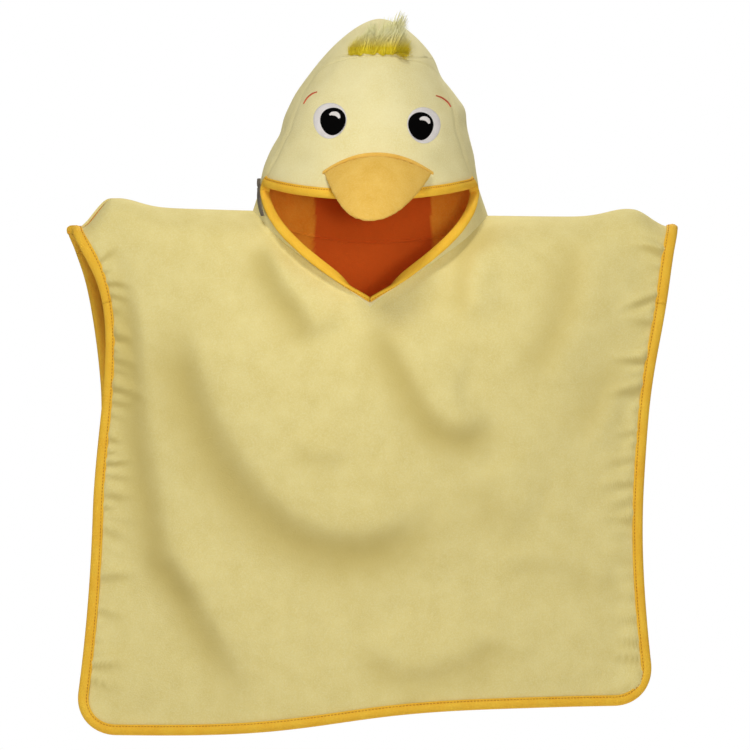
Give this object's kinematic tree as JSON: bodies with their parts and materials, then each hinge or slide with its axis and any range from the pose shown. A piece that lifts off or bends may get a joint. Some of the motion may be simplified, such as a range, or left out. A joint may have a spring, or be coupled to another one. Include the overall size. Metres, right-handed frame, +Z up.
{
  "type": "hooded baby towel",
  "caption": "Hooded bath poncho for a small child, with a duck's face on the hood, a stuffed beak, an orange lining and bound edges.",
  "frame": {"origin": "middle of the neck opening at the height of the shoulders, where the wearer's neck passes", "axes": "+Z up, -Y the way the duck's face looks, +X the wearer's left"},
  "size_m": [0.6167, 0.2634, 0.7202],
  "materials": {
    "shell_velour": "pale yellow cotton velour, short cut pile",
    "lining_velour": "deep orange cotton lining",
    "binding_tape": "warm yellow-orange folded binding tape",
    "beak_velour": "light orange cotton velour",
    "beak_stuffing": "loose white fibre filling, sealed inside",
    "eye_white": "white satin-stitched embroidery",
    "eye_black": "black satin-stitched embroidery",
    "brow_thread": "thin red-orange embroidery thread",
    "tuft_fringe": "long bright yellow pile fringe",
    "label_ribbon": "folded woven ribbon, blank"
  },
  "bodies": {
    "yoke": {"yoke_front_shell": "shell_velour", "yoke_front_lining": "lining_velour", "yoke_back_shell": "shell_velour", "yoke_back_lining": "lining_velour", "shoulder_binding_left": "binding_tape", "shoulder_binding_right": "binding_tape", "throat_left": "shell_velour", "throat_right": "shell_velour", "throat_lining_left": "lining_velour", "throat_lining_right": "lining_velour", "neck_binding_left": "binding_tape", "neck_binding_right": "binding_tape"},
    "front": {"front_shell": "shell_velour", "front_lining": "lining_velour", "front_binding": "binding_tape"},
    "back": {"back_shell": "shell_velour", "back_lining": "lining_velour", "back_binding": "binding_tape"},
    "hood": {"hood_face": "shell_velour", "hood_face_lining": "lining_velour", "hood_side_left": "shell_velour", "hood_side_right": "shell_velour", "hood_side_lining_left": "lining_velour", "hood_side_lining_right": "lining_velour", "neck_tape": "binding_tape", "lip_binding": "binding_tape", "beak_piping": "beak_velour", "eye_patch_left": "eye_white", "eye_patch_right": "eye_white", "pupil_left": "eye_black", "pupil_right": "eye_black", "glint_left": "eye_white", "glint_right": "eye_white", "brow_left": "brow_thread", "brow_right": "brow_thread", "tuft_tape": "tuft_fringe", "tuft_pile": "tuft_fringe", "side_label": "label_ribbon"},
    "beak": {"beak_top": "beak_velour", "beak_under": "beak_velour", "beak_stuffing": "beak_stuffing"}
  },
  "joints": [
    {"name": "hood_fold_back", "type": "hinge", "parent": "yoke", "child": "hood", "pos_m": [0, 0.088, 0.004], "axis": [-1, 0, 0], "range_deg": [0, 55], "deforming": ["throat_left", "throat_right", "throat_lining_left", "throat_lining_right", "neck_binding_left", "neck_binding_right"]},
    {"name": "front_lift", "type": "hinge", "parent": "yoke", "child": "front", "pos_m": [0, -0.101, -0.1225], "axis": [-1, 0, 0], "range_deg": [0, 50]},
    {"name": "back_lift", "type": "hinge", "parent": "yoke", "child": "back", "pos_m": [0, 0.091, -0.0845], "axis": [1, 0, 0], "range_deg": [0, 50]},
    {"name": "beak_lift", "type": "hinge", "parent": "hood", "child": "beak", "pos_m": [0, -0.1175, 0.058], "axis": [-1, 0, 0], "range_deg": [0, 50]}
  ]
}
